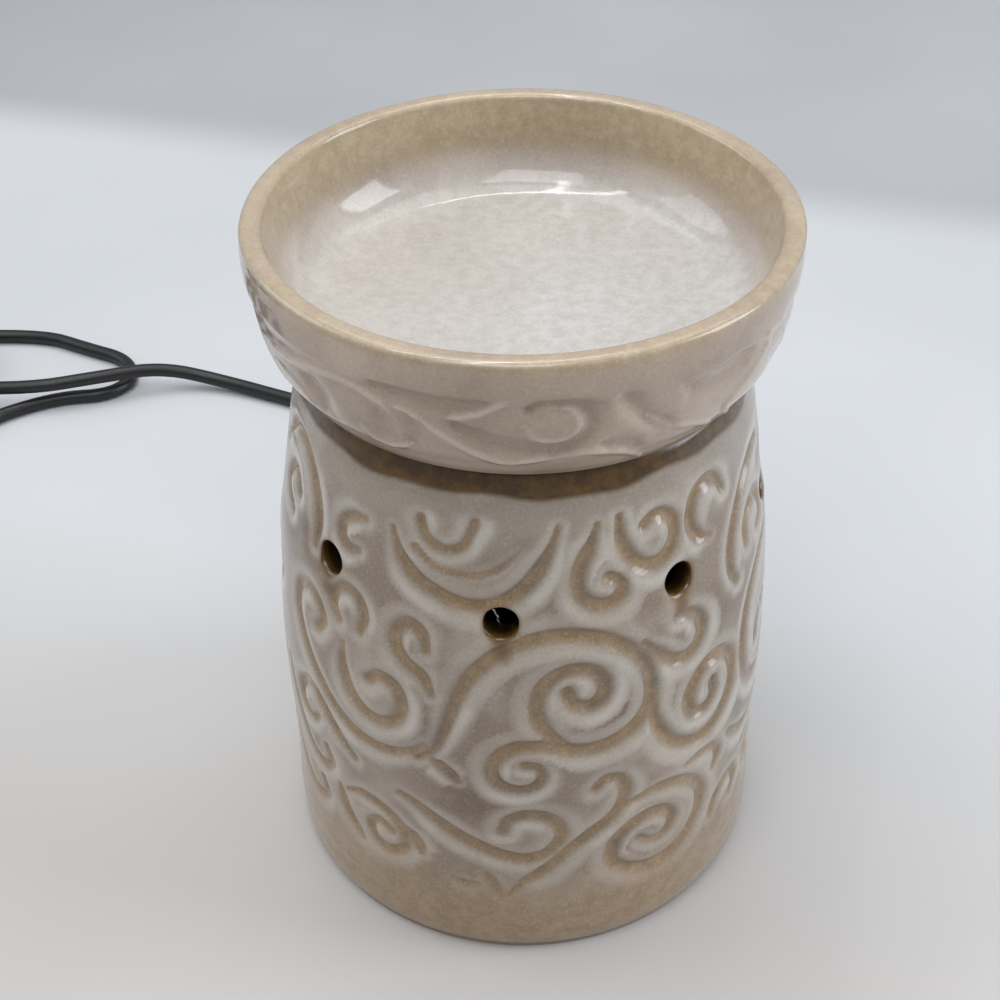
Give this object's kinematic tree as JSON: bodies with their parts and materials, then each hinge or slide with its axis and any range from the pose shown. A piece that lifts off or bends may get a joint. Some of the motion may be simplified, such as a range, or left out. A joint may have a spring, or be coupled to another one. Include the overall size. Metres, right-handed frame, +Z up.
{
  "type": "wax melt warmer",
  "caption": "Electric wax melt warmer: a lift-off shallow dish on a tapering stoneware body with incised scrolls and vent holes, a globe bulb inside, and a lead with a rotary switch and plug.",
  "frame": {"origin": "on the floor under the middle of the body", "axes": "+Z up through the body and the dish, +Y towards the back, where the lead leaves, +X to the right seen from the front"},
  "size_m": [0.366, 0.2877, 0.1721],
  "materials": {
    "glazed_stoneware": "mottled grey-white gloss glaze over incised scrollwork, breaking to tan on edges and in the channels",
    "felt_charcoal": "pressed wool felt, dark grey",
    "steel_plated": "zinc-plated sheet steel",
    "silicone_clear": "translucent silicone",
    "rubber_black": "matt black rubber",
    "phenolic_black": "moulded black phenolic",
    "brass_plain": "bare brass",
    "steel_screw": "zinc-plated steel",
    "glass_clear": "clear blown glass",
    "nickel_plated": "nickel-plated brass",
    "glass_black": "black vitrite",
    "solder": "tin solder, dull",
    "wire_molybdenum": "drawn wire",
    "wire_tungsten": "coiled tungsten wire",
    "cord_black": "soft PVC sheath, satin black",
    "conductor_insulation": "PVC insulation",
    "tie_black": "PVC-coated wire tie",
    "switch_black": "moulded black plastic, fine texture",
    "plug_black": "overmoulded black PVC"
  },
  "bodies": {
    "warmer": {"ceramic_body": "glazed_stoneware", "foot_felt": "felt_charcoal", "base_plate": "steel_plated", "base_sealant": "silicone_clear", "plate_grommet": "rubber_black", "lamp_holder": "phenolic_black", "screw_shell": "brass_plain", "centre_contact": "brass_plain", "holder_screws": "steel_screw", "holder_nuts": "steel_screw", "terminal_screws": "brass_plain", "strain_relief": "rubber_black", "inner_cord": "cord_black", "inner_leads": "conductor_insulation", "cord_run": "cord_black", "cord_hank": "cord_black", "cord_tie": "tie_black", "cord_tail": "cord_black", "switch_base": "switch_black", "switch_cover": "switch_black", "switch_screw": "steel_screw", "switch_contacts": "brass_plain", "cord_lead": "cord_black", "plug_body": "plug_black", "plug_blades": "brass_plain"},
    "dish": {"wax_dish": "glazed_stoneware"},
    "bulb": {"bulb_envelope": "glass_clear", "bulb_cap": "nickel_plated", "bulb_insulator": "glass_black", "bulb_contact": "solder", "bulb_stem": "glass_clear", "bulb_leads": "wire_molybdenum", "bulb_filament": "wire_tungsten"},
    "thumb_wheel": {"switch_wheel": "switch_black"}
  },
  "joints": [
    {"name": "dish_lift", "type": "slide", "parent": "warmer", "child": "dish", "axis": [0, 0, 1], "range_m": [0, 0.08]},
    {"name": "bulb_turn", "type": "hinge", "parent": "warmer", "child": "bulb", "pos_m": [0, 0, 0.05], "axis": [0, 0, 1], "range_deg": [0, 1080]},
    {"name": "wheel_turn", "type": "hinge", "parent": "warmer", "child": "thumb_wheel", "pos_m": [-0.23518, 0.1347, 0.007], "axis": [0, 0, 1], "continuous": true}
  ]
}
